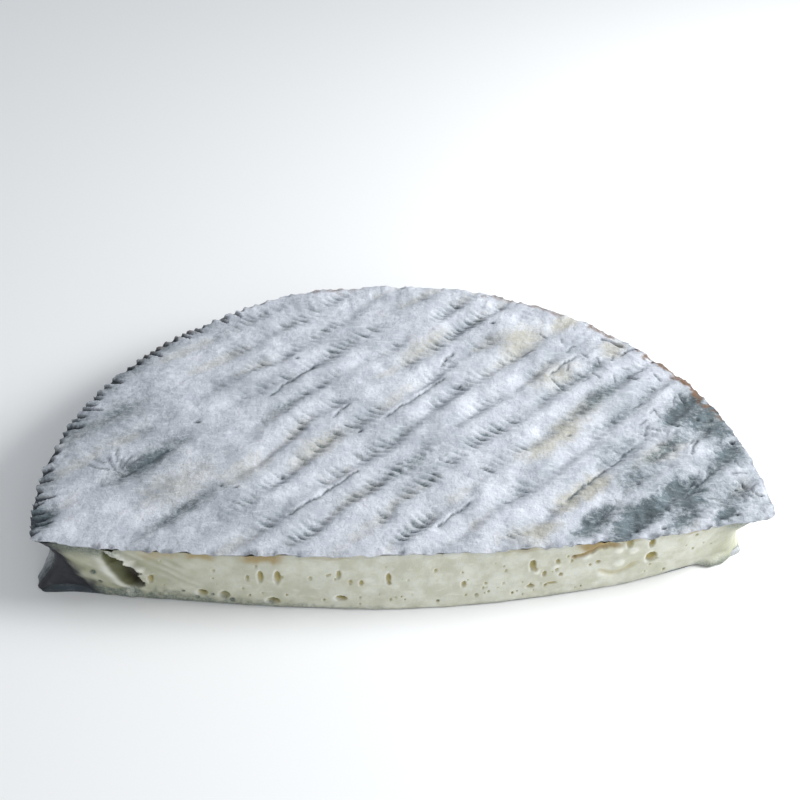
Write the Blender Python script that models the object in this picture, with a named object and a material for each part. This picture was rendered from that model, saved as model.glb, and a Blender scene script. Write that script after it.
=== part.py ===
"""Half of a soft-ripened cheese wheel, lying on its underside as it was cut.

Metres, +Z up. The origin is the point where the whole wheel's axis meets its underside.
The cut face looks along -Y, and its two corners lie on a line parallel to X.
"""

import math

import bmesh
import bpy
import numpy as np
from mathutils import Matrix, Vector

# The wheel
WHEEL_RADIUS = 0.180  # to the lip of the top rind
HEIGHT = 0.034  # to the crest of the mat ridges
WAIST_DEPTH = 0.0045  # how far the side draws in at mid height
FOOT_INSET = 0.0030  # the foot of the side stands in from the lip above it
# How much more the side draws in at the two cut corners, where the paste has shrunk back
LEFT_WAIST = 0.0040
LEFT_FOOT = 0.0010
RIGHT_WAIST = 0.0050
RIGHT_FOOT = 0.0100

# The cut
CUT_OFFSET = 0.022  # the cut's corners lie this far in front of the axis
FACE_BOW = 0.0165  # the soft paste stands out by this at the middle of the top edge
FACE_SLUMP = 0.0050  # and by this much more at the middle of the bottom edge
RIGHT_SETBACK = 0.0160  # the bottom edge draws back by this towards the right corner
LIP_CORNER = 0.005  # blend between side and cut at the lip
WAIST_CORNER = 0.016  # and at mid height, where the corner has gone round

# The ridges that the draining mat pressed into the top
RIDGE_PITCH = 0.0183
RIDGE_DEPTH = 0.0022
RIDGE_ANGLE = math.radians(42)
RIDGE_WANDER = 0.0035  # the ridges wave to each side by this
RIM_FADE = 0.012  # the ridges fade out over this width at the rim
RIM_DROP = 0.0009  # and the rim lies this far below their crests

# Mesh: cells along the cut, cells from the cut to the back, and heights of the wall's rings
CELLS_ACROSS = 60
CELLS_DEEP = 30
WALL_LEVELS = (1.0, 0.93, 0.80, 0.60, 0.40, 0.20, 0.07, 0.0)

# Eyes that the knife opened in the cut face: x, z, half width, half height, in metres
EYES = (
    (-0.0990, 0.0068, 0.0026, 0.0020),
    (-0.0885, 0.0062, 0.0026, 0.0026),
    (-0.0712, 0.0190, 0.0015, 0.0040),
    (-0.0655, 0.0055, 0.0034, 0.0020),
    (-0.0632, 0.0188, 0.0017, 0.0042),
    (-0.0333, 0.0066, 0.0029, 0.0016),
    (-0.0110, 0.0180, 0.0014, 0.0034),
    (0.0580, 0.0210, 0.0017, 0.0034),
    (0.1165, 0.0255, 0.0018, 0.0032),
    (0.1175, 0.0160, 0.0030, 0.0036),
)
EYE_DEPTH = 0.0028
# The knife tore a crevice into the paste by the left corner.
TEAR_CENTRE = (-0.1365, 0.0185)
TEAR_HALF_SIZE = (0.0050, 0.0070, 0.0125)
TEAR_LEAN = math.radians(-30)

HEART = np.array((0.0, 0.070))  # a plan point from which the whole outline can be seen
RIND_COLOUR = (0.80, 0.82, 0.85, 1.0)
PASTE_COLOUR = (0.80, 0.77, 0.62, 1.0)


def clear_scene():
    for obj in list(bpy.data.objects):
        bpy.data.objects.remove(obj)


def material(name, colour, roughness):
    made = bpy.data.materials.new(name)
    made.use_nodes = True
    shader = made.node_tree.nodes["Principled BSDF"]
    shader.inputs["Base Color"].default_value = colour
    shader.inputs["Roughness"].default_value = roughness
    shader.inputs["Metallic"].default_value = 0.0
    return made


def smooth_max(a, b, width):
    """The larger of a and b, blended over width where they are nearly equal."""
    near = np.maximum(width - np.abs(a - b), 0.0) / width
    return np.maximum(a, b) + near * near * width / 4


def face_front(x, level):
    """How far in front of the axis the cut face lies, at a height from 0 to 1."""
    across = np.clip(x / WHEEL_RADIUS, -1.0, 1.0)
    swell = 1.0 - across * across
    setback = RIGHT_SETBACK * np.maximum(across, 0.0) ** 4
    slump = FACE_SLUMP * swell**3 - setback
    return CUT_OFFSET + FACE_BOW * swell + slump * (1.0 - level)


def side_inset(x, level):
    """How far the side stands in from the lip's radius, at a height from 0 to 1."""
    nearness = (np.abs(x) / WHEEL_RADIUS) ** 6
    waist = WAIST_DEPTH + nearness * np.where(x < 0, LEFT_WAIST, RIGHT_WAIST)
    foot = FOOT_INSET + nearness * np.where(x < 0, LEFT_FOOT, RIGHT_FOOT)
    return waist * math.sin(math.pi * level) ** 1.2 + foot * (1.0 - level)


def outside(points, level):
    """Signed distance of plan points from the outline at a height, negative inside."""
    x, y = points[..., 0], points[..., 1]
    side = np.hypot(x, y) - (WHEEL_RADIUS - side_inset(x, level))
    cut = -(y + face_front(x, level))
    corner = LIP_CORNER + (WAIST_CORNER - LIP_CORNER) * math.sin(math.pi * level)
    return smooth_max(side, cut, corner)


def outline(headings, level):
    """The points of the outline that lie along these headings from the heart."""
    along = np.stack([np.cos(headings), np.sin(headings)], axis=-1)
    near = np.full(len(headings), 0.02)
    far = np.full(len(headings), 0.30)
    for _ in range(40):
        middle = (near + far) / 2
        inside = outside(HEART + along * middle[:, None], level) < 0
        near = np.where(inside, middle, near)
        far = np.where(inside, far, middle)
    return HEART + along * near[:, None]


def evenly(first, last, count):
    """Headings between two of them that space the points along the lip evenly."""
    fine = np.linspace(first, last, 20 * count + 1)
    steps = np.linalg.norm(np.diff(outline(fine, 1.0), axis=0), axis=1)
    run = np.concatenate([[0.0], np.cumsum(steps)])
    return np.interp(np.arange(count) * run[-1] / count, run, fine)


def ring_headings():
    """Headings along the cut from the left corner to the right, then back round the side."""
    left_corner = math.atan2(-CUT_OFFSET - HEART[1], -WHEEL_RADIUS)
    right_corner = math.atan2(-CUT_OFFSET - HEART[1], WHEEL_RADIUS)
    along_cut = evenly(left_corner, right_corner, CELLS_ACROSS)
    round_side = evenly(right_corner, left_corner + 2 * math.pi, CELLS_ACROSS + 2 * CELLS_DEEP)
    return np.concatenate([along_cut, round_side])


def relief(x, y):
    """How far the top lies below its highest crest: ridges that fade out at the rim."""
    across = y * math.cos(RIDGE_ANGLE) - x * math.sin(RIDGE_ANGLE)
    along = x * math.cos(RIDGE_ANGLE) + y * math.sin(RIDGE_ANGLE)
    wander = RIDGE_WANDER * np.sin(along / 0.021 + across / 0.034)
    wave = np.cos(2 * math.pi * (across + wander) / RIDGE_PITCH)
    depth = RIDGE_DEPTH * (0.5 + 0.5 * wave)
    fade = np.clip(-outside(np.stack([x, y], axis=-1), 1.0) / RIM_FADE, 0.0, 1.0)
    return RIM_DROP * (1 - fade) + depth * fade


def side_of_patch(ring, first, last):
    """The ring's points from one place to another, the way they run round it."""
    return ring[np.arange(first, last + 1) % len(ring)]


def patch(ring):
    """A grid of plan points that fills the ring: row 0 is the cut, column 0 the left."""
    cut = side_of_patch(ring, 0, CELLS_ACROSS)
    right = side_of_patch(ring, CELLS_ACROSS, CELLS_ACROSS + CELLS_DEEP)
    back = side_of_patch(ring, CELLS_ACROSS + CELLS_DEEP, 2 * CELLS_ACROSS + CELLS_DEEP)[::-1]
    left = side_of_patch(ring, 2 * CELLS_ACROSS + CELLS_DEEP, len(ring))[::-1]
    u = np.linspace(0.0, 1.0, CELLS_ACROSS + 1)[None, :, None]
    v = np.linspace(0.0, 1.0, CELLS_DEEP + 1)[:, None, None]
    between_rows = (1 - v) * cut[None] + v * back[None]
    between_columns = (1 - u) * left[:, None] + u * right[:, None]
    corners = (1 - v) * ((1 - u) * cut[0] + u * cut[-1])
    corners = corners + v * ((1 - u) * back[0] + u * back[-1])
    return between_rows + between_columns - corners


def ring_place(row, column):
    """Where a border point of the patch lies on the ring, or None inside the patch."""
    if row == 0:
        return column
    if column == CELLS_ACROSS:
        return CELLS_ACROSS + row
    if row == CELLS_DEEP:
        return 2 * CELLS_ACROSS + CELLS_DEEP - column
    if column == 0:
        return 2 * (CELLS_ACROSS + CELLS_DEEP) - row
    return None


def half_wheel(rind, paste):
    """The half wheel as one closed mesh: a wall of rings, a ridged top, a flat base."""
    headings = ring_headings()
    count = len(headings)
    bm = bmesh.new()
    walls = []
    for level in WALL_LEVELS:
        points = outline(headings, level)
        lowered = relief(points[:, 0], points[:, 1]) * level
        walls.append(
            [
                bm.verts.new((x, y, HEIGHT * level - drop))
                for (x, y), drop in zip(points, lowered)
            ]
        )
    for upper, lower in zip(walls, walls[1:]):
        for i in range(count):
            following = (i + 1) % count
            face = bm.faces.new((upper[i], lower[i], lower[following], upper[following]))
            face.material_index = 1 if i < CELLS_ACROSS else 0

    places = patch(outline(headings, 1.0))
    heights = HEIGHT - relief(places[..., 0], places[..., 1])
    top = []
    for row in range(CELLS_DEEP + 1):
        line = []
        for column in range(CELLS_ACROSS + 1):
            place = ring_place(row, column)
            if place is None:
                x, y = places[row, column]
                line.append(bm.verts.new((x, y, heights[row, column])))
            else:
                line.append(walls[0][place % count])
        top.append(line)
    for near, far in zip(top, top[1:]):
        for i in range(CELLS_ACROSS):
            bm.faces.new((near[i], near[i + 1], far[i + 1], far[i]))
    bm.faces.new(walls[-1][::-1])

    mesh = bpy.data.meshes.new("cheese_half_wheel")
    bm.to_mesh(mesh)
    bm.free()
    mesh.materials.append(rind)
    mesh.materials.append(paste)
    mesh.shade_smooth()
    mesh.set_sharp_from_angle(angle=math.radians(50))
    made = bpy.data.objects.new("cheese_half_wheel", mesh)
    bpy.context.collection.objects.link(made)
    return made


def cutter(name, hollows, material_inside):
    """One hidden object that holds an ellipsoid for each hollow: centre, sizes, lean."""
    bm = bmesh.new()
    for centre, sizes, lean in hollows:
        place = Matrix.Translation(centre) @ Matrix.Rotation(lean, 4, "Y")
        place = place @ Matrix.Diagonal((*sizes, 1.0))
        bmesh.ops.create_icosphere(bm, subdivisions=2, radius=1.0, matrix=place)
    mesh = bpy.data.meshes.new(name)
    bm.to_mesh(mesh)
    bm.free()
    mesh.materials.append(material_inside)
    made = bpy.data.objects.new(name, mesh)
    made.hide_render = True
    made.display_type = "WIRE"
    bpy.context.collection.objects.link(made)
    return made


def on_face(x, z):
    """The point of the cut face at this place."""
    return Vector((x, -float(face_front(x, z / HEIGHT)), z))


def open_hollows(cheese, paste):
    """Cuts the eyes and the torn crevice into the face."""
    eyes = [(on_face(x, z), (wide, EYE_DEPTH, tall), 0.0) for x, z, wide, tall in EYES]
    tear = [(on_face(*TEAR_CENTRE), TEAR_HALF_SIZE, TEAR_LEAN)]
    for name, hollows in (("eye_cutter", eyes), ("tear_cutter", tear)):
        cut = cheese.modifiers.new(name, "BOOLEAN")
        cut.operation = "DIFFERENCE"
        cut.solver = "EXACT"
        cut.object = cutter(name, hollows, paste)


clear_scene()
rind_white = material("bloomy_rind", RIND_COLOUR, 0.85)
paste_cream = material("soft_paste", PASTE_COLOUR, 0.45)
open_hollows(half_wheel(rind_white, paste_cream), paste_cream)
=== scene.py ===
"""The looks of half a soft-ripened cheese wheel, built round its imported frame."""

import math

import bpy
import numpy as np
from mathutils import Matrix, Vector


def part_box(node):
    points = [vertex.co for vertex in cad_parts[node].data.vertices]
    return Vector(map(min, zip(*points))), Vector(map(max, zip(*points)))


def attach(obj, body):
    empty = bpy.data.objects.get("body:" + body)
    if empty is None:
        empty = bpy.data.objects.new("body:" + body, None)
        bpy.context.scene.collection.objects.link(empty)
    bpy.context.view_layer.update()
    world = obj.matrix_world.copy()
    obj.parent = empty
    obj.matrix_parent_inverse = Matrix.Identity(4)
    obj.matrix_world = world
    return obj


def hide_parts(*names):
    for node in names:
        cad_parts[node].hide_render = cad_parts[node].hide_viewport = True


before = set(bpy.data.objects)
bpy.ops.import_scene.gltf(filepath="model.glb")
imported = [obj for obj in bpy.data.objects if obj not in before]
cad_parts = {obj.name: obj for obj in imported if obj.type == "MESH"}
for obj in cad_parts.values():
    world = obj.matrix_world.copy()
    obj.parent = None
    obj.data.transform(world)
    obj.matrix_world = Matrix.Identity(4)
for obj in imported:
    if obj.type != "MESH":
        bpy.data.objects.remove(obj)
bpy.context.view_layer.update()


# THE RIND
# A felt of white mould about a millimetre thick, which grew over the whole wheel while it
# ripened on a draining mat: the mat's bars left the ridges, and its strands the combs across
# them. It was cut together with the paste, and its thin lip stands over the cut.

(_, cut_front, _), (wheel_radius, _, height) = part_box("cheese_half_wheel")
cut_offset = 0.022  # the cut's corners lie this far in front of the wheel's axis
face_slump = 0.005  # the foot of the cut stands out by this much more than its top
face_bow = -cut_front - cut_offset - face_slump
right_setback = 0.016  # the foot of the cut stands in by up to this much at its right corner
heart = np.array((0.0, 0.070))  # a plan point from which the whole outline can be seen

rind_thickness = 0.0011
under_lip = 0.007  # how far the rind's body keeps behind the cut, where the paste fills in
cells_along_cut = 360
cells_to_back = 180
cells_round_side = 2 * cells_to_back + cells_along_cut
lip_level = 0.96  # the side's levels above this one are the edge of the thin lip
side_levels = (1.0, 0.983, 0.966, 0.93, 0.88, 0.81, 0.72, 0.62, 0.52, 0.42, 0.32, 0.22, 0.13, 0.06, 0.0)

ridge_pitch = 0.0183
ridge_depth = 0.0024
ridge_angle = math.radians(42)
comb_pitch = 0.0043
comb_depth = 0.0015
notch_pitch = 0.0060
notch_depth = 0.0018
scratch_half_width = 0.0007
scratch_depth = 0.0006
pit_depth = 0.0014
left_foot_reach = 0.0050  # the two corners of the cut sag out at the foot by about this much
right_foot_reach = 0.0036

# Folds, where the skin drops to the lower right of a sharp line: both ends, drop, run-out
folds = (
    (0.076, -0.004, 0.104, 0.019, 0.0013, 0.0050),
    (0.085, -0.023, 0.102, -0.007, 0.0022, 0.0060),
    (0.134, -0.006, 0.160, 0.017, 0.0018, 0.0050),
    (0.092, 0.076, 0.083, 0.093, 0.0010, 0.0040),
    (0.083, 0.093, 0.104, 0.111, 0.0014, 0.0050),
    (0.103, 0.019, 0.122, 0.036, 0.0007, 0.0050),
    (-0.142, 0.020, -0.116, 0.041, 0.0009, 0.0060),
    (-0.060, -0.010, -0.020, 0.022, 0.0012, 0.0050),
    (-0.010, 0.060, 0.030, 0.094, 0.0014, 0.0050),
    (-0.070, 0.080, -0.040, 0.110, 0.0010, 0.0050),
    (0.010, -0.022, 0.034, -0.002, 0.0010, 0.0050),
)
# Cracks and creases of the skin, in plan: x, y of both ends, half width and depth
creases = (
    (0.121, 0.125, 0.131, 0.118, 0.0009, 0.0012),
    (0.128, 0.110, 0.138, 0.116, 0.0007, 0.0010),
    (0.147, 0.025, 0.153, 0.036, 0.0007, 0.0010),
    (0.121, -0.005, 0.128, -0.014, 0.0006, 0.0009),
    (-0.034, 0.062, -0.026, 0.072, 0.0007, 0.0012),
    (0.026, 0.104, 0.034, 0.114, 0.0007, 0.0012),
)
# Small pits that crack open in the skin: x, y and radius
pits = (
    (0.165, 0.000, 0.0016), (0.176, -0.007, 0.0012), (0.172, 0.034, 0.0018), (0.152, -0.022, 0.0022),
    (0.145, 0.102, 0.0016), (0.160, -0.020, 0.0013), (0.122, -0.027, 0.0018), (0.088, 0.042, 0.0011),
    (0.146, 0.046, 0.0013), (0.158, 0.052, 0.0014), (0.116, 0.004, 0.0013), (0.109, -0.027, 0.0014),
    (-0.090, 0.012, 0.0014), (-0.083, 0.010, 0.0011), (-0.104, 0.060, 0.0016), (-0.020, 0.050, 0.0014),
    (0.036, 0.086, 0.0015), (-0.052, 0.112, 0.0013), (0.060, 0.140, 0.0013), (-0.060, 0.020, 0.0012),
)
# Short hair cracks, most of them by the right rim: x, y, heading and length
rng = np.random.default_rng(11)
scratches = []
for _ in range(48):
    heading = rng.uniform(0.0, 1.05)
    away = 0.004 + 0.040 * rng.beta(1.0, 1.8)
    px, py = (wheel_radius - away) * math.cos(heading), (wheel_radius - away) * math.sin(heading) - 0.012
    scratches.append((px, py, rng.uniform(-0.4, 2.2), rng.uniform(0.003, 0.008)))
# A fan of finer ones that spreads from the end of a fold by the left rim
for heading in (0.80, 1.05, 1.30, 1.60, 1.95, 2.35, 2.75):
    away = 0.010 + 0.003 * math.sin(9 * heading)
    px, py = -0.143 + away * math.cos(heading), 0.022 + away * math.sin(heading)
    scratches.append((px, py, heading, 0.008 + 0.003 * math.cos(7 * heading)))
# Hollows with thin, dark mould in them: x, y, half length along the ridges, half width, strength
slate_hollows = (
    (0.113, 0.070, 0.012, 0.006, 0.35),
    (0.157, 0.057, 0.015, 0.009, 1.00),
    (0.168, 0.043, 0.012, 0.006, 0.80),
    (0.137, -0.004, 0.010, 0.008, 1.60),
    (0.121, -0.012, 0.018, 0.005, 0.85),
    (0.108, -0.020, 0.015, 0.006, 1.35),
    (0.090, -0.021, 0.014, 0.006, 1.00),
    (0.106, 0.030, 0.014, 0.006, 0.55),
    (0.112, 0.008, 0.012, 0.007, 0.60),
    (0.135, 0.030, 0.018, 0.004, 0.70),
    (0.163, -0.011, 0.010, 0.005, 0.40),
    (0.154, -0.0205, 0.006, 0.003, 1.30),
    (0.167, 0.024, 0.012, 0.006, 0.60),
    (0.132, -0.022, 0.010, 0.004, 0.60),
    (-0.128, 0.031, 0.020, 0.006, 0.50),
    (-0.178, -0.008, 0.010, 0.007, 1.20),
    (-0.112, -0.009, 0.018, 0.004, 0.55),
    (-0.139, 0.062, 0.020, 0.014, 0.32),
    (-0.060, 0.070, 0.018, 0.005, 0.45),
    (0.010, 0.022, 0.022, 0.005, 0.50),
)
khaki_hollows = (
    (0.076, 0.126, 0.015, 0.008, 0.9),
    (0.088, 0.092, 0.015, 0.008, 0.7),
    (0.087, 0.045, 0.015, 0.006, 0.9),
    (0.074, 0.034, 0.014, 0.006, 0.8),
    (0.092, 0.003, 0.014, 0.006, 1.0),
    (0.081, -0.005, 0.012, 0.005, 0.9),
    (0.063, -0.027, 0.012, 0.005, 0.8),
    (0.103, 0.140, 0.014, 0.005, 0.8),
    (0.125, 0.115, 0.010, 0.006, 0.7),
    (0.130, 0.027, 0.014, 0.004, 0.7),
    (0.102, 0.064, 0.012, 0.006, 0.5),
    (-0.110, 0.014, 0.020, 0.012, 0.5),
    (-0.080, 0.022, 0.016, 0.008, 0.5),
    (0.020, 0.120, 0.020, 0.006, 0.6),
    (-0.040, 0.040, 0.018, 0.006, 0.5),
)
# Stretches of the lip where the mould has rubbed off, as angles round the wheel in degrees
bare_rim = ((20, 38, 1.0), (44, 50, 0.7), (54, 70, 0.6), (96, 104, 0.5), (128, 140, 0.4))


def patchy(x, y, size, seed):
    """Smooth random values from -1 to 1 that change over this distance."""
    lattice = np.random.default_rng(seed).uniform(-1.0, 1.0, (256, 256))
    across, along = x / size, y / size
    left, low = np.floor(across).astype(int), np.floor(along).astype(int)
    u, v = across - left, along - low
    u, v = u * u * (3 - 2 * u), v * v * (3 - 2 * v)
    left, right, low, high = left % 256, (left + 1) % 256, low % 256, (low + 1) % 256
    near = lattice[left, low] * (1 - u) + lattice[right, low] * u
    far = lattice[left, high] * (1 - u) + lattice[right, high] * u
    return near * (1 - v) + far * v


def patchy_along(run, size, seed):
    """Smooth random values from -1 to 1 along a line."""
    return patchy(run, run * 0, size, seed)


def ramp(value, start, end):
    """0 up to start, 1 from end, and a smooth rise between them."""
    t = np.clip((value - start) / (end - start), 0.0, 1.0)
    return t * t * (3 - 2 * t)


def face_front(x, level):
    """How far in front of the axis the cut lies, at a height from 0 to 1."""
    across = np.clip(x / wheel_radius, -1.0, 1.0)
    swell = 1.0 - across * across
    slump = face_slump * swell**3 - right_setback * np.maximum(across, 0.0) ** 4
    return cut_offset + face_bow * swell + slump * (1.0 - level)


def side_inset(x, level):
    """How far the side stands in from the lip's radius, at a height from 0 to 1."""
    nearness = (np.abs(x) / wheel_radius) ** 6
    waist = 0.0045 + nearness * np.where(x < 0, 0.004, 0.005)
    foot = 0.0030 + nearness * np.where(x < 0, 0.001, 0.010)
    return waist * math.sin(math.pi * level) ** 1.2 + foot * (1.0 - level)


def outside(x, y, level):
    """Distance of plan points from the wheel's outline at a height, negative inside."""
    side = np.hypot(x, y) - (wheel_radius - side_inset(x, level))
    cut = -(y + face_front(x, level))
    corner = 0.005 + 0.011 * math.sin(math.pi * level)
    near = np.maximum(corner - np.abs(side - cut), 0.0) / corner
    return np.maximum(side, cut) + near * near * corner / 4


def outline(headings, level):
    """The points of the outline that lie along these headings from the heart."""
    along = np.stack([np.cos(headings), np.sin(headings)], axis=-1)
    near = np.full(len(headings), 0.02)
    far = np.full(len(headings), 0.30)
    for _ in range(36):
        middle = (near + far) / 2
        point = heart + along * middle[:, None]
        inside = outside(point[:, 0], point[:, 1], level) < 0
        near = np.where(inside, middle, near)
        far = np.where(inside, far, middle)
    return heart + along * near[:, None]


def evenly(first, last, count):
    """Headings between two of them that space the points along the lip evenly."""
    fine = np.linspace(first, last, 20 * count + 1)
    steps = np.linalg.norm(np.diff(outline(fine, 1.0), axis=0), axis=1)
    run = np.concatenate([[0.0], np.cumsum(steps)])
    return np.interp(np.linspace(0.0, run[-1], count + 1), run, fine)


def hollow(x, y, spots, wobble):
    """The strongest of these soft oval spots at each point, from 0 to 1."""
    found = np.zeros_like(x)
    for cx, cy, half_length, half_width, strength in spots:
        dx, dy = x - cx, y - cy
        along = dx * math.cos(ridge_angle) + dy * math.sin(ridge_angle)
        across = dy * math.cos(ridge_angle) - dx * math.sin(ridge_angle)
        away = np.hypot(along / half_length, across / half_width) + 0.30 * wobble
        found = np.maximum(found, strength * (1 - ramp(away, 0.05, 1.90)))
    return found


def crack(x, y, x0, y0, x1, y1, half_width):
    """1 along the middle of a crease and 0 past its wandering edges."""
    length = math.hypot(x1 - x0, y1 - y0)
    along = ((x - x0) * (x1 - x0) + (y - y0) * (y1 - y0)) / length
    across = ((y - y0) * (x1 - x0) - (x - x0) * (y1 - y0)) / length
    across = across + 0.0016 * patchy(along, across * 0.2, 0.006, 31)
    ends = np.maximum(np.maximum(-along, along - length), 0.0)
    return 1 - ramp(np.hypot(across, ends) / half_width, 0.25, 1.4)


def fold(x, y, x0, y0, x1, y1, run_out):
    """1 just past the sharp line of a fold, easing to 0 over its run-out, and 0 before it."""
    length = math.hypot(x1 - x0, y1 - y0)
    along = ((x - x0) * (x1 - x0) + (y - y0) * (y1 - y0)) / length
    past = ((x - x0) * (y1 - y0) - (y - y0) * (x1 - x0)) / length
    past = past + 0.0012 * patchy_along(along, 0.007, 32)
    ends = ramp(along, -0.003, 0.004) * ramp(length - along, -0.003, 0.004)
    return ends * ramp(past, 0.0, 0.0009) * np.exp(-np.maximum(past, 0.0) / run_out)


def rim_gap(angle, from_rim):
    """1 in the wedge-shaped gaps between the tufts of mould round the rim, which are painted near-black as
    shade.
    """
    place = angle * wheel_radius / notch_pitch + 0.25 * from_rim / notch_pitch
    place = place + 0.9 * patchy_along(angle * wheel_radius, 0.026, 35)
    which = np.round(place)
    aside = np.abs(place - which + 0.34 * patchy_along(which, 1.0, 11))
    at_left = 0.25 + 0.75 * ramp(np.abs(angle), 1.8, 2.3)  # they are short and faint elsewhere
    length = (0.0072 + 0.0044 * patchy_along(which, 1.0, 12)) * at_left
    width = (0.32 + 0.16 * patchy_along(which, 1.0, 18)) * np.clip(1.15 - from_rim / length, 0.0, 1.0)
    gap = (1 - ramp(aside - width, -0.05, 0.10)) * ramp(length - from_rim, -0.0005, 0.0010)
    return gap * at_left


def mat_print(x, y, inside):
    """The mat's print: its depth, its troughs, how far they fade, and the combs across them."""
    across = y * math.cos(ridge_angle) - x * math.sin(ridge_angle)
    along = x * math.cos(ridge_angle) + y * math.sin(ridge_angle)
    wander = 0.0034 * patchy(x, y, 0.040, 1) * (1 - 0.7 * ramp(x, 0.040, 0.090))
    wander = wander + 0.0016 * patchy(x, y, 0.015, 2)
    turn = 2 * math.pi * (across + wander) / ridge_pitch
    turn = turn + 0.30 * np.sin(turn + 0.8)
    trough = (0.5 + 0.5 * np.cos(turn)) ** 1.2
    fade = (0.30 + 0.70 * ramp(x, -0.120, -0.040)) * (0.30 + 0.70 * ramp(inside, 0.001, 0.016))
    drop = ridge_depth * trough * fade * np.clip(0.55 + 0.85 * patchy(x, y, 0.022, 3), 0.05, 1.2)
    bar = np.floor(turn / (2 * math.pi) + 0.5)
    strand = (along + 0.35 * across + 0.0012 * patchy(x, y, 0.007, 4)) / comb_pitch + 0.37 * bar
    strand = 0.5 + 0.5 * np.cos(2 * math.pi * strand)
    combed = ramp(patchy(x, y, 0.022, 5), -0.7, 0.1) * ramp(x, -0.112, -0.060)
    combed = combed * (1 - 0.60 * ramp(x, 0.050, 0.085)) * ramp(inside, 0.001, 0.010)
    each = np.clip(0.70 + 0.60 * patchy(along, bar * 0.01, comb_pitch, 15), 0.1, 1.1)
    comb = combed * each * (0.04 + 0.96 * trough**0.7) * strand**1.3
    return drop + comb_depth * comb, trough, fade, comb


def openings(x, y, wobble):
    """Folds, creases, hair cracks and pits: their depth, the near-black painted shade in them, and the slate
    painted as shade past the folds.
    """
    drop = np.zeros_like(x)
    slate = np.zeros_like(x)
    painted_shade = np.zeros_like(x)
    for x0, y0, x1, y1, depth, run_out in folds:
        past = fold(x, y, x0, y0, x1, y1, run_out)
        drop = drop + depth * past
        # Past the fold's sharp line the skin is painted slate, and near-black at the line: painted shade
        # where it drops away.
        slate = np.maximum(slate, 0.8 * past * ramp(past, 0.25, 0.95))
        painted_shade = np.maximum(painted_shade, 0.8 * ramp(past, 0.62, 0.90))
    for x0, y0, x1, y1, half_width, depth in creases:
        opened = crack(x, y, x0, y0, x1, y1, half_width)
        drop = drop + depth * opened
        painted_shade = np.maximum(painted_shade, 0.6 * opened)
    for px, py, heading, length in scratches:
        reach_x, reach_y = 0.5 * length * math.cos(heading), 0.5 * length * math.sin(heading)
        x0, y0, x1, y1 = px - reach_x, py - reach_y, px + reach_x, py + reach_y
        opened = crack(x, y, x0, y0, x1, y1, scratch_half_width)
        drop = drop + scratch_depth * opened
        painted_shade = np.maximum(painted_shade, min(110 * length, 0.60) * opened)
    for px, py, radius in pits:
        away = np.hypot(x - px, (y - py) * 1.5) / radius + 0.25 * wobble
        opened = 1 - ramp(away, 0.4, 1.2)
        drop = drop + pit_depth * opened
        painted_shade = np.maximum(painted_shade, opened)
    return drop, slate, painted_shade


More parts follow.
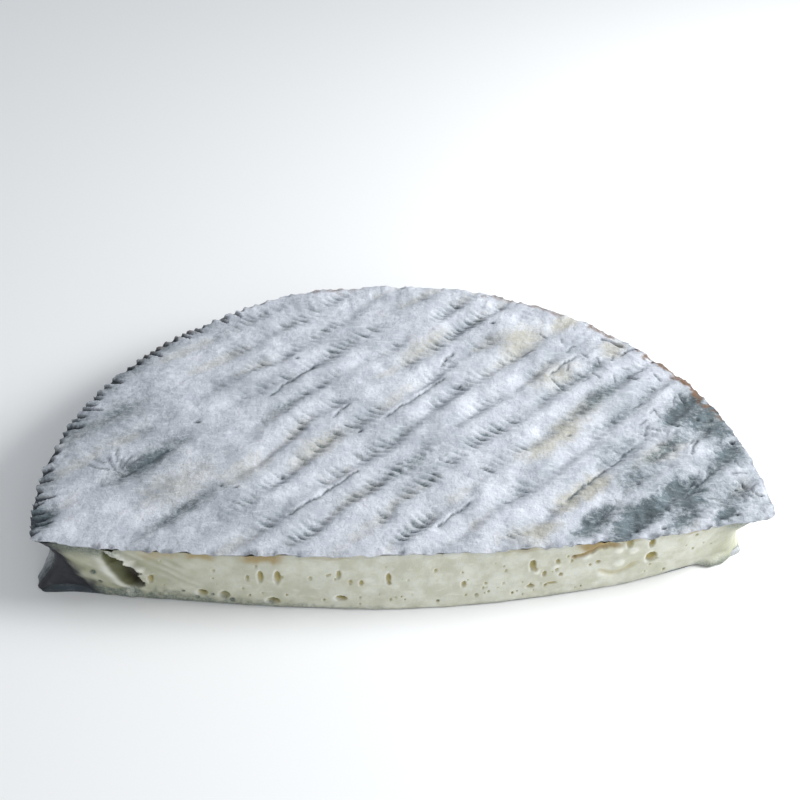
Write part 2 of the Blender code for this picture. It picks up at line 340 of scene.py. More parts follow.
def skin(x, y):
    """The skin's relief in metres below its crests, and how much of each tint it shows."""
    inside = -outside(x, y, 1.0)
    from_rim = wheel_radius - np.hypot(x, y)
    angle = np.arctan2(y, x)
    wobble = patchy(x, y, 0.0045, 9) + 0.7 * patchy(x, y, 0.0019, 10)

    drop, trough, fade, comb = mat_print(x, y, inside)
    drop = drop + 0.0010 * (1 + patchy(x, y, 0.021, 6)) + 0.00045 * patchy(x, y, 0.0075, 7)
    drop = drop + 0.00016 * patchy(x, y, 0.0024, 8)
    drop = drop + 0.0005 * (1 - ramp(inside, 0.0, 0.0035))
    brushed = patchy(angle * wheel_radius, from_rim * 0.16, 0.0023, 16)
    drop = drop + 0.00030 * brushed * (1 - ramp(from_rim, 0.010, 0.040))

    # The slate spots are painted stronger in the mat's troughs: painted shade in them.
    slate = hollow(x, y, slate_hollows, wobble) * (0.75 + 0.40 * trough)
    khaki = hollow(x, y, khaki_hollows, wobble)
    drop = drop + 0.0011 * slate + 0.0005 * khaki
    opened_drop, fold_shade, painted_shade = openings(x, y, wobble)
    drop = drop + opened_drop
    slate = np.maximum(slate, fold_shade)

    depth_in = from_rim + 0.0012 * patchy(x, y, 0.0030, 17)
    # The gaps between the tufts round the rim, and those along the lip over the cut, are painted near-black:
    # painted shade.
    notch = rim_gap(angle, depth_in) * ramp(inside - from_rim, -0.002, 0.000)
    drop = drop + notch_depth * notch
    painted_shade = np.maximum(painted_shade, notch)
    from_cut = y + face_front(x, 1.0) + 0.0007 * patchy(x, y, 0.0026, 28)
    gap = ramp(patchy_along(x, 0.0028, 29) + 0.3 * wobble, 0.25, 0.80) * (1 - ramp(from_cut, 0.0006, 0.0024))
    drop = drop + 0.0007 * gap
    painted_shade = np.maximum(painted_shade, 0.60 * gap)

    bare = np.zeros_like(x)
    for first, last, strong in bare_rim:
        middle, half = math.radians((first + last) / 2), math.radians((last - first) / 2)
        here = 1 - ramp(np.abs(angle - middle) / half + 0.4 * wobble, 0.6, 1.2)
        bare = np.maximum(bare, strong * here * (1 - ramp(from_rim + 0.0020 * wobble, 0.0010, 0.0060)))

    # The mat's troughs and combs are painted slate, and the troughs khaki too: painted shade in those
    # hollows, over the mould's own tints.
    trough_shade = trough * fade * ramp(patchy(x, y, 0.030, 13) + 0.25 * wobble, -0.4, 0.7)
    slate = slate + (0.22 + 0.36 * ramp(x, 0.06, 0.12)) * trough_shade + 0.75 * comb
    slate = slate + 0.26 * ramp(x - 0.4 * y, 0.085, 0.140) * (1 + 0.7 * patchy(x, y, 0.012, 36))
    # The left part of the top is painted slate as a painted shadow, and its rim strip darker still: part
    # darker mould, part painted shade.
    slate = slate + 0.20 * ramp(-x, 0.02, 0.12) * (1 + 0.9 * patchy(x, y, 0.018, 37))
    left_rim_mould_and_shade = (1 - ramp(from_rim + 0.003 * wobble, 0.002, 0.014)) * ramp(-x, 0.085, 0.125)
    slate = slate + 0.34 * left_rim_mould_and_shade * ramp(y, -0.004, 0.020)
    khaki = khaki + 0.45 * trough * ramp(patchy(x, y, 0.028, 14) + 0.25 * wobble, 0.0, 0.8)
    return drop, np.clip(slate, 0.0, 1.2), np.clip(khaki, 0.0, 1.0), painted_shade, bare


left_corner = math.atan2(-cut_offset - heart[1], -wheel_radius)
right_corner = math.atan2(-cut_offset - heart[1], wheel_radius - 0.001)
cut_headings = evenly(left_corner, right_corner, cells_along_cut)
side_headings = evenly(right_corner, left_corner + 2 * math.pi, cells_round_side)
ring_headings = np.concatenate([cut_headings[:-1], side_headings[:-1]])
ring_size = len(ring_headings)

lip = outline(ring_headings, 1.0)
to_heart = heart - lip
to_heart = to_heart / np.linalg.norm(to_heart, axis=1)[:, None]
run = np.concatenate([[0.0], np.cumsum(np.linalg.norm(np.diff(lip, axis=0), axis=1))])
past_left = np.where(run > run[-1] / 2 + run[cells_along_cut] / 2, run - run[-1], run)
past_right = run[cells_along_cut] - run
of_cut = ramp(past_left, -0.004, 0.002) * ramp(past_right, -0.016, -0.009)  # 1 where the paste shows
on_cut = ramp(past_left, 0.000, 0.004) * ramp(past_right, 0.000, 0.004)
torn = on_cut * (0.5 * patchy_along(run, 0.0075, 20) + 0.7 * patchy_along(run, 0.0026, 21))
frayed = (1 - on_cut) * (0.6 * patchy_along(run, 0.0080, 22) + 0.6 * patchy_along(run, 0.0024, 23))
gaps = (1 - on_cut) * rim_gap(np.arctan2(lip[:, 1], lip[:, 0]), 0.0)
lip = lip - to_heart * (0.0006 * on_cut + 0.0009 * torn + 0.0006 * frayed - 0.0006 * gaps)[:, None]
lip_drop, lip_slate, lip_khaki, lip_painted_shade, lip_bare = skin(lip[:, 0], lip[:, 1])
lip_drop = lip_drop + 0.0006 * on_cut * patchy_along(run, 0.0030, 27)
left_toe = np.exp(-((past_left / 0.011) ** 2))
right_toe = ramp(past_right, -0.012, 0.000) * (1 - ramp(past_right, 0.012, 0.028))
# At the left corner the rind's side is painted slate and near-black: painted shade in the hollow under the
# lip.
left_hollow_shade = ramp(past_left, -0.010, 0.006) * (1 - ramp(past_left, 0.035, 0.045))

points = []
tints = []
for level in side_levels:
    up = np.full(ring_size, level * height)
    if level > lip_level:
        plan = lip + to_heart * (0.0012 * ramp(1 - level, 0.010, 0.034) ** 2)
    else:
        plan = outline(ring_headings, level)
        tucked = under_lip * of_cut * ramp(level, 0.02, 0.12) + 0.0004 * of_cut
        rag = 1 + 0.45 * patchy_along(past_left, 0.0085, 30) + 0.2 * patchy_along(past_left, 0.0030, 33)
        tucked = tucked - left_foot_reach * left_toe * rag * (1 - ramp(level, 0.0, 0.45))
        tucked = tucked - right_foot_reach * right_toe * (1 - ramp(level, 0.04, 0.16))
        fuzz = 0.0007 * patchy(run, up, 0.0070, 24)
        fuzz = fuzz + 0.0004 * patchy(run, up, 0.0026, 25)
        plan = plan + to_heart * (tucked + fuzz * (1 - of_cut) * ramp(level, 0.0, 0.1))[:, None]
    z = height * level - lip_drop * level
    points.append(np.column_stack([plan, z]))
    # Down the side the rind is tinted greyer and khaki: partly its greyer mould, partly painted shade.
    shade = ramp(1 - level, 0.02, 0.5)
    side_slate_and_shade = 0.34 + 0.32 * ramp(patchy(run, up, 0.012, 26), -0.1, 0.9)
    side_slate_and_shade = side_slate_and_shade + 0.8 * left_hollow_shade
    mottled = 0.80 + 0.25 * patchy(run, up, 0.005, 34)
    tints.append(
        np.column_stack(
            [
                np.clip(lip_slate * (1 - shade) + side_slate_and_shade * shade, 0, 1),
                lip_khaki * (1 - shade) + 0.45 * shade,
                np.maximum(lip_painted_shade * (1 - ramp(1 - level, 0.05, 0.12)), 0.90 * shade * left_hollow_shade * mottled),
                lip_bare * (1 - shade) ** 3,
            ]
        )
    )


def patch(ring):
    """A grid of plan points that fills the ring: row 0 is the cut, column 0 the left."""
    ends = np.cumsum([0, cells_along_cut, cells_to_back, cells_along_cut, cells_to_back])
    cut, right, back, left = (
        ring[np.arange(first, last + 1) % ring_size] for first, last in zip(ends, ends[1:])
    )
    back, left = back[::-1], left[::-1]
    u = np.linspace(0.0, 1.0, cells_along_cut + 1)[None, :, None]
    v = np.linspace(0.0, 1.0, cells_to_back + 1)[:, None, None]
    corners = (1 - v) * ((1 - u) * cut[0] + u * cut[-1]) + v * ((1 - u) * back[0] + u * back[-1])
    return (1 - v) * cut[None] + v * back[None] + (1 - u) * left[:, None] + u * right[:, None] - corners


grid = patch(lip)
grid_drop, *grid_tints = skin(grid[..., 0], grid[..., 1])
numbers = np.full(grid.shape[:2], -1)
numbers[0, :] = np.arange(cells_along_cut + 1)
numbers[:, -1] = cells_along_cut + np.arange(cells_to_back + 1)
numbers[-1, ::-1] = cells_along_cut + cells_to_back + np.arange(cells_along_cut + 1)
numbers[:0:-1, 0] = 2 * cells_along_cut + cells_to_back + np.arange(cells_to_back)
inner = numbers < 0
numbers[inner] = ring_size * len(side_levels) + np.arange(inner.sum())
points.append(np.column_stack([grid[inner], height - grid_drop[inner]]))
tints.append(np.column_stack([tint[inner] for tint in grid_tints]))

# The underside, at half the density: the mat below it ran the other way
below = (len(side_levels) - 1) * ring_size
sole = patch(points[-2][:, :2])
sole_drop, *sole_tints = skin(-sole[..., 0], sole[..., 1])
sole_lift = 0.6 * np.maximum(sole_drop, 0.0) * ramp(-outside(sole[..., 0], sole[..., 1], 0.0), 0.0, 0.010)
sole_numbers = np.where(inner, -1, numbers + below)
kept = np.zeros_like(inner)
kept[2:-1:2, 2:-1:2] = True
sole_numbers[kept] = ring_size * len(side_levels) + inner.sum() + np.arange(kept.sum())
points.append(np.column_stack([sole[kept], sole_lift[kept]]))
tints.append(np.column_stack([tint[kept] for tint in sole_tints]))
rind_points = np.concatenate(points)
rind_tints = np.concatenate(tints)

faces = np.column_stack(
    [numbers[:-1, :-1].ravel(), numbers[:-1, 1:].ravel(), numbers[1:, 1:].ravel(), numbers[1:, :-1].ravel()]
).tolist()
here = np.arange(ring_size)
following = (here + 1) % ring_size
for row in range(len(side_levels) - 1):
    upper, lower = row * ring_size, (row + 1) * ring_size
    faces += np.column_stack([upper + here, lower + here, lower + following, upper + following]).tolist()
around = ((0, 0), (1, 0), (2, 0), (2, 1), (2, 2), (1, 2), (0, 2), (0, 1))
for row in range(0, cells_to_back, 2):
    for column in range(0, cells_along_cut, 2):
        cell = [int(sole_numbers[row + down, column + along]) for down, along in around]
        faces.append([corner for corner in cell if corner >= 0])

rind_mesh = bpy.data.meshes.new("white_mould_rind")
rind_mesh.from_pydata(rind_points.tolist(), [], faces)
rind_mesh.shade_smooth()
rind_mesh.set_sharp_from_angle(angle=math.radians(60))
for name, values in zip(("slate", "khaki", "painted_shade", "bare"), rind_tints.T):
    attribute = rind_mesh.attributes.new(name, "FLOAT", "POINT")
    attribute.data.foreach_set("value", np.ascontiguousarray(values, dtype=np.float32))
rind = bpy.data.objects.new("white_mould_rind", rind_mesh)
bpy.context.collection.objects.link(rind)


class Finish:
    """A material whose nodes are added one by one to its Principled shader."""

    def __init__(self, name):
        self.material = bpy.data.materials.new(name)
        self.material.use_nodes = True
        self.nodes = self.material.node_tree.nodes
        self.shader = self.nodes["Principled BSDF"]
        self.place = self.add("ShaderNodeTexCoord").outputs["Object"]

    def add(self, kind, **settings):
        node = self.nodes.new(kind)
        for name, value in settings.items():
            setattr(node, name, value)
        return node

    def plug(self, value, socket):
        """Links an output to a socket, or sets a plain value on it."""
        if isinstance(value, bpy.types.NodeSocket):
            self.material.node_tree.links.new(value, socket)
        else:
            socket.default_value = value

    def grain(self, size, detail=3.0, roughness=0.55, stretch=(1, 1, 1), turned=0.0):
        """Noise from 0 to 1 whose patches are about this size in metres."""
        turn = self.add("ShaderNodeMapping")
        turn.inputs["Rotation"].default_value = (0, 0, turned)
        turn.inputs["Scale"].default_value = stretch
        self.plug(self.place, turn.inputs["Vector"])
        noise = self.add("ShaderNodeTexNoise")
        noise.inputs["Scale"].default_value = 1 / size
        noise.inputs["Detail"].default_value = detail
        noise.inputs["Roughness"].default_value = roughness
        self.plug(turn.outputs[0], noise.inputs["Vector"])
        return noise.outputs["Fac"]

    def span(self, value, low, high, to_low=0.0, to_high=1.0):
        """The value stretched so that low to high becomes to_low to to_high."""
        node = self.add("ShaderNodeMapRange", interpolation_type="SMOOTHSTEP")
        for name, number in (("From Min", low), ("From Max", high), ("To Min", to_low), ("To Max", to_high)):
            node.inputs[name].default_value = number
        self.plug(value, node.inputs["Value"])
        return node.outputs["Result"]

    def reckon(self, operation, a, b):
        node = self.add("ShaderNodeMath", operation=operation)
        self.plug(a, node.inputs[0])
        self.plug(b, node.inputs[1])
        return node.outputs[0]

    def times(self, a, b):
        return self.reckon("MULTIPLY", a, b)

    def plus(self, a, b):
        return self.reckon("ADD", a, b)

    def mix(self, amount, a, b):
        """Colour a where the amount is 0, and colour b where it is 1."""
        node = self.add("ShaderNodeMix", data_type="RGBA")
        self.plug(amount, node.inputs[0])
        self.plug(a, node.inputs[6])
        self.plug(b, node.inputs[7])
        return node.outputs[2]

    def tint(self, name):
        """One of the tints that the mesh carries at its points."""
        return self.add("ShaderNodeAttribute", attribute_name=name).outputs["Fac"]

    def bump(self, relief, distance, under=None):
        """The surface roughened by this relief, on top of another bump if there is one."""
        node = self.add("ShaderNodeBump")
        node.inputs["Distance"].default_value = distance
        self.plug(relief, node.inputs["Height"])
        if under:
            self.plug(under, node.inputs["Normal"])
        return node.outputs[0]


felt = Finish("white_mould")
fluff = felt.grain(0.0011, detail=5, roughness=0.7)
cloud = felt.grain(0.011, detail=4, roughness=0.6)
hairs = felt.grain(0.0016, detail=3, stretch=(0.22, 1, 1), turned=math.radians(50))
tufts = felt.grain(0.0030, detail=4, roughness=0.65)
broad = felt.grain(0.034, detail=3)
white = felt.mix(felt.span(cloud, 0.35, 0.68), (0.50, 0.53, 0.585, 1), (0.70, 0.72, 0.77, 1))
white = felt.mix(felt.span(broad, 0.45, 0.66, 0, 0.70), white, (0.37, 0.40, 0.445, 1))
white = felt.mix(felt.span(hairs, 0.52, 0.74, 0, 0.40), white, (0.82, 0.84, 0.88, 1))
white = felt.mix(felt.span(hairs, 0.46, 0.28, 0, 0.20), white, (0.32, 0.35, 0.40, 1))
white = felt.mix(felt.span(fluff, 0.60, 0.42, 0, 0.14), white, (0.34, 0.37, 0.42, 1))
# The slate colour stands for thin dark mould and also for painted shade: in troughs, folds, on the left,
# down the side and in the left hollow.
slate_mould_and_shade = felt.mix(felt.span(cloud, 0.36, 0.66), (0.022, 0.044, 0.051, 1), (0.10, 0.14, 0.155, 1))
uneven = felt.plus(
    felt.span(fluff, 0.30, 0.70, 0.16, -0.16),
    felt.span(tufts, 0.35, 0.65, 0.22, -0.22),
)
for name, colour, most in (
    ("khaki", (0.45, 0.42, 0.31, 1), 0.70),
    ("slate", slate_mould_and_shade, 0.94),
    ("bare", (0.15, 0.080, 0.040, 1), 1.0),
):
    ragged = felt.times(felt.tint(name), felt.plus(uneven, 1.0))
    white = felt.mix(felt.span(ragged, -0.04, 1.02, 0, most), white, colour)
white = felt.mix(felt.span(hairs, 0.54, 0.72, 0, 0.24), white, (0.56, 0.60, 0.64, 1))
# Near-black painted shade in the cracks, pits, folds and gaps, and in the hollow at the left end.
white = felt.mix(felt.tint("painted_shade"), white, (0.025, 0.035, 0.045, 1))
felt.plug(white, felt.shader.inputs["Base Color"])
felt.plug(felt.span(cloud, 0.3, 0.7, 0.78, 0.95), felt.shader.inputs["Roughness"])
felt.shader.inputs["Sheen Weight"].default_value = 0.12
felt.shader.inputs["Sheen Roughness"].default_value = 0.6
fine = felt.bump(fluff, 0.00028)
fine = felt.bump(tufts, 0.0008, under=fine)
felt.plug(felt.bump(hairs, 0.0005, under=fine), felt.shader.inputs["Normal"])
rind_mesh.materials.append(felt.material)

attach(rind, "root")
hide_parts("cheese_half_wheel")


# THE PASTE
# The soft cream-coloured inside, laid open by the knife. It bows out under its own weight,
# and holds small eyes, most of them near the foot. By the left corner the blade dragged and
# tore it, and beyond the tear it shrank back into a hollow under the lip, painted near-black as shade.

cells_along_face = 720
cells_up_face = 64
left_wrap = math.radians(2.5)  # the face goes on round the side by this much
right_wrap = math.radians(5.5)
slab_depth = 0.012  # the paste is a slab this deep, and the rest of it is out of sight
back_heights = (0.020, 0.004)  # the two rows of points on the slab's back
foot_gap = 0.0005
tear_depth = 0.0054
torn_edge_rise = 0.0014
dark_hollow_depth = 0.0026
scored_depth = 0.0014
wrinkle_depth = 0.0010
right_foot_rise = 0.0048

# Eyes: x, z, half width, half height, depth, and how golden they are inside
eyes = (
    (-0.1230, 0.0140, 0.0014, 0.0030, 0.0020, 0.8),
    (-0.0712, 0.0190, 0.0015, 0.0040, 0.0022, 0.9),
    (-0.0632, 0.0188, 0.0017, 0.0042, 0.0024, 0.9),
    (-0.0885, 0.0060, 0.0026, 0.0026, 0.0026, 0.5),
    (-0.0990, 0.0068, 0.0026, 0.0020, 0.0018, 0.8),
    (-0.0655, 0.0040, 0.0034, 0.0020, 0.0026, 0.8),
    (-0.0333, 0.0066, 0.0029, 0.0016, 0.0022, 1.0),
    (-0.0345, 0.0205, 0.0012, 0.0028, 0.0016, 0.6),
    (-0.0290, 0.0160, 0.0010, 0.0018, 0.0013, 0.6),
    (-0.0110, 0.0180, 0.0013, 0.0034, 0.0018, 0.9),
    (-0.0774, 0.0173, 0.0010, 0.0020, 0.0013, 0.5),
    (0.0580, 0.0210, 0.0017, 0.0034, 0.0018, 0.9),
    (0.0640, 0.0150, 0.0012, 0.0020, 0.0012, 0.7),
    (0.0575, 0.0080, 0.0022, 0.0012, 0.0014, 0.7),
    (0.0700, 0.0220, 0.0012, 0.0016, 0.0011, 0.7),
    (0.0700, 0.0170, 0.0010, 0.0013, 0.0010, 0.6),
    (0.0250, 0.0130, 0.0013, 0.0020, 0.0014, 0.8),
    (0.0900, 0.0190, 0.0013, 0.0013, 0.0013, 0.8),
    (0.1050, 0.0285, 0.0018, 0.0030, 0.0016, 0.8),
    (0.1165, 0.0265, 0.0016, 0.0032, 0.0020, 1.0),
    (0.1175, 0.0165, 0.0030, 0.0036, 0.0026, 1.0),
    (0.0680, 0.0085, 0.0030, 0.0008, 0.0010, 0.8),
)
# Pale lumps of curd that stand out between the eyes on the right: x, z, radius and height
lumps = (
    (0.1000, 0.0250, 0.0026, 0.0009),
    (0.1075, 0.0235, 0.0030, 0.0008),
    (0.1010, 0.0165, 0.0036, 0.0009),
    (0.0925, 0.0110, 0.0028, 0.0007),
    (0.0600, 0.0170, 0.0022, 0.0006),
    (0.0695, 0.0195, 0.0018, 0.0005),
    (0.0840, 0.0240, 0.0024, 0.0005),
)
# Dark green dots of mould: x, z and radius
mouldy_dots = (
    (-0.1500, 0.0152, 0.0017),
    (-0.1474, 0.0090, 0.0013),
    (-0.1080, 0.0070, 0.0010),
    (-0.1015, 0.0035, 0.0016),
    (-0.0850, 0.0028, 0.0018),
    (-0.0940, 0.0060, 0.0009),
)
# Brown whey stains where the paste meets the rind: x, half length, drop below the lip, strength
whey_stains = (
    (-0.070, 0.012, 0.0044, 0.9),
    (-0.099, 0.008, 0.0036, 0.8),
    (-0.118, 0.012, 0.0044, 0.5),
    (0.088, 0.011, 0.0040, 1.0),
    (0.105, 0.006, 0.0020, 0.5),
    (0.139, 0.007, 0.0022, 1.0),
    (-0.040, 0.012, 0.0018, 0.4),
    (0.052, 0.010, 0.0020, 0.4),
)
# The torn crevice, from the foot up: height, and where its left and right sides lie there
tear_sides = (
    (0.0065, -0.1300, -0.1285),
    (0.0085, -0.1345, -0.1264),
    (0.0130, -0.1378, -0.1262),
    (0.0175, -0.1403, -0.1274),
    (0.0181, -0.1406, -0.1300),
    (0.0216, -0.1422, -0.1308),
    (0.0223, -0.1425, -0.1346),
    (0.0254, -0.1436, -0.1350),
    (0.0262, -0.1438, -0.1386),
    (0.0290, -0.1443, -0.1394),
    (0.0310, -0.1445, -0.1432),
)

face_headings = evenly(left_corner - left_wrap, right_corner + right_wrap, cells_along_face)
base = outline(face_headings, 1.0)
face_x = base[:, 0]
base_drop = skin(face_x, base[:, 1])[0]
face_run = np.concatenate([[0.0], np.cumsum(np.linalg.norm(np.diff(base, axis=0), axis=1))])
face_run = face_run - np.interp(left_corner, face_headings, face_run)
left_out = 1 + 0.45 * patchy_along(face_run, 0.0085, 30) + 0.2 * patchy_along(face_run, 0.0030, 33)
left_out = left_out * np.exp(-((face_run / 0.011) ** 2)) * left_foot_reach
inside_rind = 0.0032 * ramp(left_corner - face_headings, 0.0, math.radians(1.2))
inside_rind = inside_rind + 0.0032 * ramp(face_headings - right_corner, math.radians(3.0), math.radians(5.0))
inside_rind = inside_rind - 0.0003 * ramp(face_headings - right_corner, math.radians(0.0), math.radians(1.0))
top_z = height - base_drop - rind_thickness + 0.0002

rng = np.random.default_rng(7)
small_eyes = []
for _ in range(170):
    x = rng.uniform(-0.130, 0.150)
    z = height * (0.08 + 0.80 * rng.beta(1.2, 2.0))
    crowded = math.exp(-(((x - 0.030) / 0.040) ** 2))
    if rng.uniform() > 0.25 + 0.75 * crowded:
        continue
    size = rng.uniform(0.0004, 0.0008) + 0.0006 * rng.uniform() ** 4
    small_eyes.append((x, z, size, size * rng.uniform(0.7, 1.5), 0.8 * size, rng.uniform(0.3, 0.9)))


def eye_marks(x, z):
    """How far the eyes push the cut, how gold they leave it, and the painted highlight and painted shade on
    each.
    """
    push, golden, pale, brown = np.zeros((4, len(x)))
    for ex, ez, wide, tall, deep, gold in eyes + tuple(small_eyes):
        dx, dz = (x - ex) / wide, (z - ez) / tall
        off = np.hypot(dx, dz)
        push = push - deep * np.sqrt(np.clip(1 - off**2, 0.0, 1.0))
        push = push + 0.00012 * np.exp(-(((off - 1.15) / 0.22) ** 2))
        golden = np.maximum(golden, gold * (1 - ramp(np.hypot(dx - 0.1, dz), 0.60, 1.05)))
        # A painted highlight on the left and upper rim of each eye.
        lit_rim = np.exp(-(((off - 1.0) / 0.35) ** 2)) * ramp(0.3 * dz - dx, -0.1, 0.7)
        pale = np.maximum(pale, gold * lit_rim)
        # Painted shade on the right side of each eye, over its gold, wider by the foot.
        by_foot = 1 - ramp(ez, 0.0065, 0.0090)
        shaded_side = 1 - ramp(np.hypot(dx - 0.45 + 0.25 * by_foot, dz - 0.1), 0.20, 0.85 + 0.2 * by_foot)
        shaded_side = shaded_side * min((0.60 + 0.70 * by_foot) * gold, 0.95)
        brown = np.maximum(brown, shaded_side * (off < 1))
    return push, golden, pale, brown


def lump_marks(x, z):
    """How far the lumps of curd stand out, and how pale they are."""
    push, pale = np.zeros((2, len(x)))
    for lx, lz, radius, rise in lumps:
        swell = np.exp(-(((x - lx) / radius) ** 2) - ((z - lz) / radius) ** 2)
        push = push + rise * swell
        pale = np.maximum(pale, 0.7 * ramp(swell, 0.3, 0.9))
    return push, pale


def dot_marks(x, z):
    """How far the dots of mould sink in, and how green they are."""
    push, green = np.zeros((2, len(x)))
    for dot_x, dot_z, radius in mouldy_dots:
        off = np.hypot(x - dot_x, z - dot_z) / radius
        push = push - 0.0012 * (1 - ramp(off, 0.2, 1.0))
        green = np.maximum(green, 1 - ramp(off, 0.5, 1.2))
    return push, green


def whey_marks(x, z):
    """The whey under the lip, the line that the blade scored there, and a wrinkle below it.

    Gives their push, how brown they leave the cut, and how gold.
    """
    whey = np.zeros_like(x)
    for middle, half_length, deep, strong in whey_stains:
        along = 1 - ramp(np.abs(x - middle) / half_length, 0.4, 1.1)
        down = (top_z - z) / deep
        whey = np.maximum(whey, strong * along * (1 - ramp(down + 0.3 * patchy(x, z, 0.004, 53), 0.5, 1.3)))
    score_height = top_z - 0.0022 - 0.0052 * ramp(-x, -0.094, -0.078)
    scored = 1 - ramp(np.abs(z - score_height), 0.0006, 0.0019)
    scored = scored * ramp(x, 0.0755, 0.0785) * (1 - ramp(x, 0.097, 0.104))
    off = np.abs(z - 0.0095 - 0.0045 * ramp(np.abs(x - 0.1000), 0.0, 0.012))
    wrinkle = (1 - ramp(off, 0.0004, 0.0022)) * (1 - ramp(np.abs(x - 0.1005), 0.007, 0.012))
    return -scored_depth * scored - wrinkle_depth * wrinkle, np.maximum(whey, scored), 0.45 * wrinkle


def tear(x, z):
    """The crevice: its push, its olive stain deepened as painted shade, the painted shade deep in it, and
    the painted highlights on both sides.
    """
    heights, lefts, rights = zip(*tear_sides)
    left = np.interp(z, heights, lefts)
    right = np.interp(z, heights, rights)
    right = right + 0.0018 * patchy_along(z, 0.0026, 41) + 0.0007 * patchy_along(z, 0.0009, 42)
    share = (x - left) / np.maximum(right - left, 0.0002)
    ends = ramp(z, 0.0065, 0.0085) * ramp(0.0318 - z, 0.0, 0.0040)
    within = ramp(right - x, -0.0004, 0.0002) * ends
    floor = ramp(share, -0.05, 0.55) * ramp(right - x, 0.0, 0.0006) * ends
    # The crevice is painted olive, deepened towards near-black low and to the right: its olive colour with
    # painted shade.
    stain_and_shade = ramp(share, -0.22, 0.06) * within
    tear_shade = ramp(share, 0.12, 0.45) * within * (1 - 0.9 * ramp(z, 0.011, 0.021))
    edge = (1 - ramp(x - right, 0.0025, 0.0065)) * ramp(x - right, -0.0006, 0.0)
    edge = edge * ramp(z, 0.010, 0.016) * ramp(0.034 - z, 0.0, 0.003)
    bank = np.exp(-(((x - left + 0.0030) / 0.0026) ** 2)) * ramp(0.030 - z, 0, 0.006)
    push = torn_edge_rise * edge + 0.0004 * bank - tear_depth * floor * (0.75 + 0.25 * tear_shade)
    # The banks and the torn edge are painted lighter: painted highlights.
    pale = np.maximum(0.75 * bank, edge * (0.65 + 0.5 * patchy(x, z, 0.0018, 56)))
    return push, stain_and_shade, tear_shade, pale


def mould_marks(x, z):
    """The grey-green mould along the foot, and the same grey-green as painted shade under the right toe and
    under the lip at both corners.
    """
    left_share = 1 - ramp(x, -0.160, 0.000)
    border = 0.0012 + 0.0050 * left_share + 0.0008 * patchy_along(x, 0.007, 55)
    moss_and_shade = 1 - ramp(z / border + 0.5 * patchy(x, z, 0.0022, 61), 0.3, 1.5)
    moss_and_shade = moss_and_shade * (0.40 + 0.60 * left_share)
    # Painted shade under the right toe, and under the lip at the right and left corners.
    moss_and_shade = np.maximum(moss_and_shade, 0.95 * ramp(x, 0.138, 0.150) * (1 - ramp(z, 0.0010, 0.0044)))
    moss_and_shade = np.maximum(moss_and_shade, 0.85 * ramp(x, 0.146, 0.160) * ramp(z, 0.023, 0.030))
    return np.maximum(moss_and_shade, 0.85 * (1 - ramp(x, -0.148, -0.128)) * ramp(z, 0.023, 0.0305))


rows = []
colours = []
for row in range(cells_up_face + 1):
    share = row / cells_up_face
    z = foot_gap + (top_z - foot_gap) * share
    level = float(np.mean(z) / height)
    plan = outline(face_headings, level)
    tangent = np.gradient(plan, axis=0)
    outward = np.column_stack([tangent[:, 1], -tangent[:, 0]])
    outward = outward / np.linalg.norm(outward, axis=1)[:, None]
    from_heart = (plan - heart) / np.linalg.norm(plan - heart, axis=1)[:, None]
    x = plan[:, 0]

    push = 0.0005 * patchy(x, z, 0.022, 50) + 0.00028 * patchy(x, z * 1.6, 0.006, 51)
    push = push + 0.00006 * patchy(x, z, 0.0016, 52)
    push = push - inside_rind - 0.0005 * ramp(share, 0.93, 1.0)
    streaky = patchy(0.50 * x + 0.87 * z, 0.13 * x - 0.07 * z, 0.0020, 60) * (1 - ramp(x, -0.118, -0.085))
    eye_push, golden, eye_highlight, brown = eye_marks(x, z)
    lump_push, lump_pale = lump_marks(x, z)
    dot_push, dots = dot_marks(x, z)
    tear_push, stain_and_shade, tear_shade, tear_highlight = tear(x, z)
    whey_push, whey, wrinkle_gold = whey_marks(x, z)
    push = push + 0.00035 * streaky + eye_push + lump_push + dot_push + tear_push + whey_push

    # Left of this edge the cut is painted near-black: painted shade in the hollow beyond the tear.
    edge_of_dark = -0.1450 - 0.58 * z + 0.0016 * patchy_along(z, 0.004, 54)
    paste_hollow_shade = 1 - ramp(x - edge_of_dark + 0.0020 * patchy(x, z, 0.0035, 58), -0.0080, 0.0040 - 0.06 * z)
    shrunk_deep = (1 - ramp(x - edge_of_dark, -0.0120, 0.0000)) * ramp(face_run, 0.001, 0.008)
    push = push - dark_hollow_depth * shrunk_deep * ramp(0.0318 - z, 0.0, 0.004)
    push = push + 0.16 * left_out  # in front of the rind's own left foot
    right_foot = ramp(x, 0.143, 0.151) * (1 - ramp(x, 0.158, 0.166)) * (1 - ramp(z, 0.0012, 0.0052))
    push = push + (right_foot_rise + 0.0006 * patchy(x, z, 0.003, 59)) * right_foot
    left_foot = left_out * (1 - ramp(level, 0.0, 0.45))
    plan = plan + outward * push[:, None] + from_heart * left_foot[:, None]
    rows.append(np.column_stack([plan, z]))

    # Painted shade darkens the cut towards both ends, over a slight darkening everywhere and random patches.
    end_shade = 0.14 + 0.80 * (1 - ramp(x, -0.160, 0.000)) + 0.80 * ramp(x, 0.143, 0.158)
    end_shade = np.clip(end_shade * (0.80 + 0.35 * patchy(x, z, 0.008, 57)) - 0.30 * streaky, 0.0, 1.0)
    golden = np.maximum(golden, wrinkle_gold)
    moss_and_shade = np.maximum(mould_marks(x, z), dots)
    stain_and_shade = np.maximum(stain_and_shade, brown)
    # Paler curd lumps, and painted highlights on the eyes' rims and the crevice's banks.
    pale = np.clip(np.maximum(np.maximum(tear_highlight, eye_highlight), lump_pale), 0.0, 1.0)
    colours.append(np.column_stack([end_shade, golden, whey, moss_and_shade, paste_hollow_shade, stain_and_shade, tear_shade, pale]))
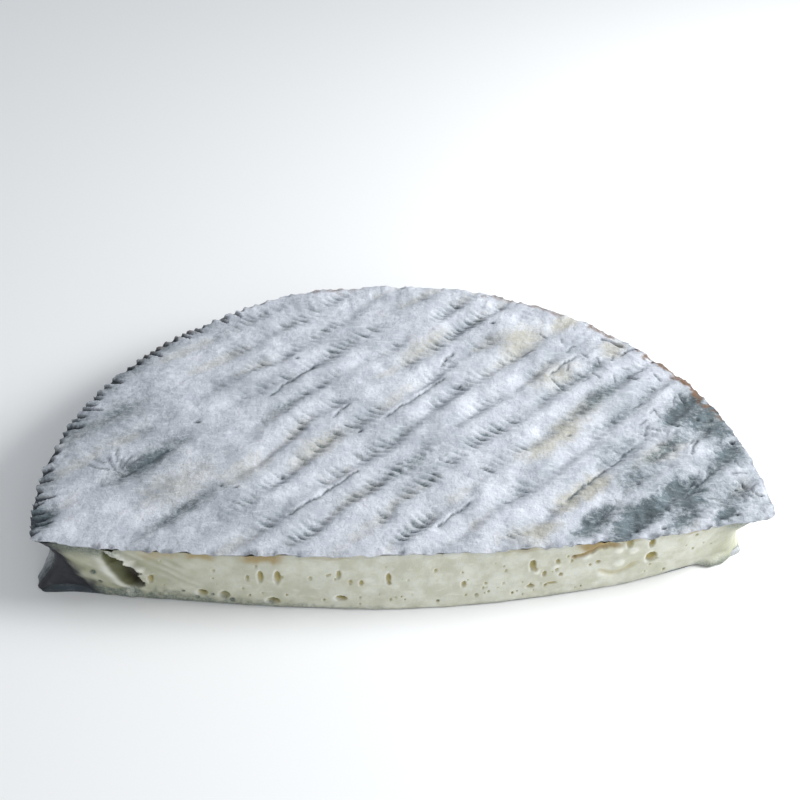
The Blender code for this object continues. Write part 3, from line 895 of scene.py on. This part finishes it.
for z_back in back_heights:
    plan = outline(face_headings, 0.5)
    inward = heart - plan
    inward = inward / np.linalg.norm(inward, axis=1)[:, None]
    plan = plan + inward * (slab_depth + inside_rind)[:, None]
    rows.append(np.column_stack([plan, np.full(len(plan), z_back)]))
    colours.append(np.zeros((len(plan), 8)))

across_face = cells_along_face + 1
up_face = len(rows)
number = np.arange(up_face * across_face).reshape(up_face, across_face)
next_row = np.roll(number, -1, axis=0)
faces = np.column_stack(
    [number[:, :-1].ravel(), number[:, 1:].ravel(), next_row[:, 1:].ravel(), next_row[:, :-1].ravel()]
).tolist()
faces.append(number[:, 0].tolist())
faces.append(number[::-1, -1].tolist())
paste_mesh = bpy.data.meshes.new("soft_paste")
paste_mesh.from_pydata(np.concatenate(rows).tolist(), [], faces)
paste_mesh.shade_smooth()
paste_tints = ("end_shade", "golden", "whey", "moss_and_shade", "paste_hollow_shade", "stain_and_shade", "tear_shade", "pale")
for name, values in zip(paste_tints, np.concatenate(colours).T):
    attribute = paste_mesh.attributes.new(name, "FLOAT", "POINT")
    attribute.data.foreach_set("value", np.ascontiguousarray(values, dtype=np.float32))
paste = bpy.data.objects.new("soft_paste", paste_mesh)
bpy.context.collection.objects.link(paste)

cream = Finish("soft_paste")
curd = cream.grain(0.009, detail=4)
smear = cream.grain(0.0022, detail=4, stretch=(0.35, 0.35, 1.0))
speck = cream.grain(0.0009, detail=2)
body = cream.mix(cream.span(curd, 0.35, 0.68), (0.56, 0.56, 0.455, 1), (0.70, 0.71, 0.635, 1))
body = cream.mix(cream.span(smear, 0.55, 0.75, 0, 0.35), body, (0.88, 0.87, 0.78, 1))
body = cream.mix(cream.span(smear, 0.45, 0.25, 0, 0.25), body, (0.56, 0.52, 0.33, 1))
# Painted shade at both ends of the cut.
body = cream.mix(cream.tint("end_shade"), body, (0.34, 0.345, 0.235, 1))
# Paler curd lumps, and painted highlights on the eyes' rims and the crevice's banks.
body = cream.mix(cream.times(cream.tint("pale"), 0.7), body, (0.90, 0.91, 0.86, 1))
body = cream.mix(cream.tint("golden"), body, (0.46, 0.38, 0.13, 1))
body = cream.mix(cream.tint("whey"), body, (0.36, 0.27, 0.12, 1))
speckled_moss_and_shade = cream.times(cream.tint("moss_and_shade"), cream.span(speck, 0.3, 0.7, 0.6, 1.2))
body = cream.mix(speckled_moss_and_shade, body, (0.12, 0.15, 0.13, 1))
# The crevice's olive and the eyes' right sides, deepened as painted shade, then the near-black painted shade
# deep in the crevice.
body = cream.mix(cream.times(cream.tint("stain_and_shade"), 0.92), body, (0.080, 0.086, 0.024, 1))
body = cream.mix(cream.times(cream.tint("tear_shade"), 0.95), body, (0.022, 0.015, 0.011, 1))
# Near-black painted shade in the hollow at the left end.
body = cream.mix(cream.tint("paste_hollow_shade"), body, (0.018, 0.020, 0.026, 1))
cream.plug(body, cream.shader.inputs["Base Color"])
cream.plug(cream.span(smear, 0.3, 0.7, 0.36, 0.56), cream.shader.inputs["Roughness"])
cream.shader.inputs["Subsurface Weight"].default_value = 0.25
cream.shader.inputs["Subsurface Radius"].default_value = (1.0, 0.8, 0.45)
cream.shader.inputs["Subsurface Scale"].default_value = 0.003
fine = cream.bump(speck, 0.0002)
cream.plug(cream.bump(smear, 0.0004, under=fine), cream.shader.inputs["Normal"])
paste_mesh.materials.append(cream.material)

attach(paste, "root")
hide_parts("cheese_half_wheel")


# THE TABLE, THE LIGHT AND THE CAMERA
# A plain pale table, a large soft lamp from the right, a weak one from the front, and a cool
# room all round.

table_mesh = bpy.data.meshes.new("table")
reach = 3.0
top = -0.0002
table_mesh.from_pydata(
    [(-reach, -reach, top), (reach, -reach, top), (reach, reach, top), (-reach, reach, top)],
    [],
    [(0, 1, 2, 3)],
)
table = bpy.data.objects.new("table", table_mesh)
bpy.context.collection.objects.link(table)
paint = bpy.data.materials.new("pale_table")
paint.use_nodes = True
paint.node_tree.nodes["Principled BSDF"].inputs["Base Color"].default_value = (0.92, 0.92, 0.91, 1)
paint.node_tree.nodes["Principled BSDF"].inputs["Roughness"].default_value = 0.9
table_mesh.materials.append(paint)


def lamp(name, place, aim, size, watts, colour):
    """A square soft lamp that faces a point."""
    light = bpy.data.lights.new(name, "AREA")
    light.size = size
    light.energy = watts
    light.color = colour
    made = bpy.data.objects.new(name, light)
    made.location = place
    made.rotation_euler = (Vector(aim) - Vector(place)).to_track_quat("-Z", "Y").to_euler()
    bpy.context.collection.objects.link(made)


middle = (0.0, 0.05, height / 2)
lamp("window", (0.80, 0.11, 0.50), middle, 0.40, 11.0, (0.97, 0.985, 1.0))
lamp("room", (0.2, -1.2, 0.5), middle, 0.9, 4.0, (1.0, 0.99, 0.96))

room = bpy.data.worlds.new("room")
room.use_nodes = True
room.node_tree.nodes["Background"].inputs["Color"].default_value = (0.90, 0.94, 1.0, 1)
room.node_tree.nodes["Background"].inputs["Strength"].default_value = 0.50
bpy.context.scene.world = room
bpy.context.scene.view_settings.view_transform = "Standard"

lens = bpy.data.cameras.new("camera")
lens.sensor_width = 36.0
lens.lens = 59.85
camera = bpy.data.objects.new("camera", lens)
camera.location = (-0.0493, -0.4689, 0.4820)
aim = Vector((0.006, 0.113, 0.0))
turn = (aim - camera.location).to_track_quat("-Z", "Y")
camera.rotation_mode = "QUATERNION"
roll = math.radians(2.08)
camera.rotation_quaternion = turn @ Vector((1, 0, 0)).rotation_difference(
    Vector((math.cos(roll), math.sin(roll), 0))
)
bpy.context.collection.objects.link(camera)
bpy.context.scene.camera = camera
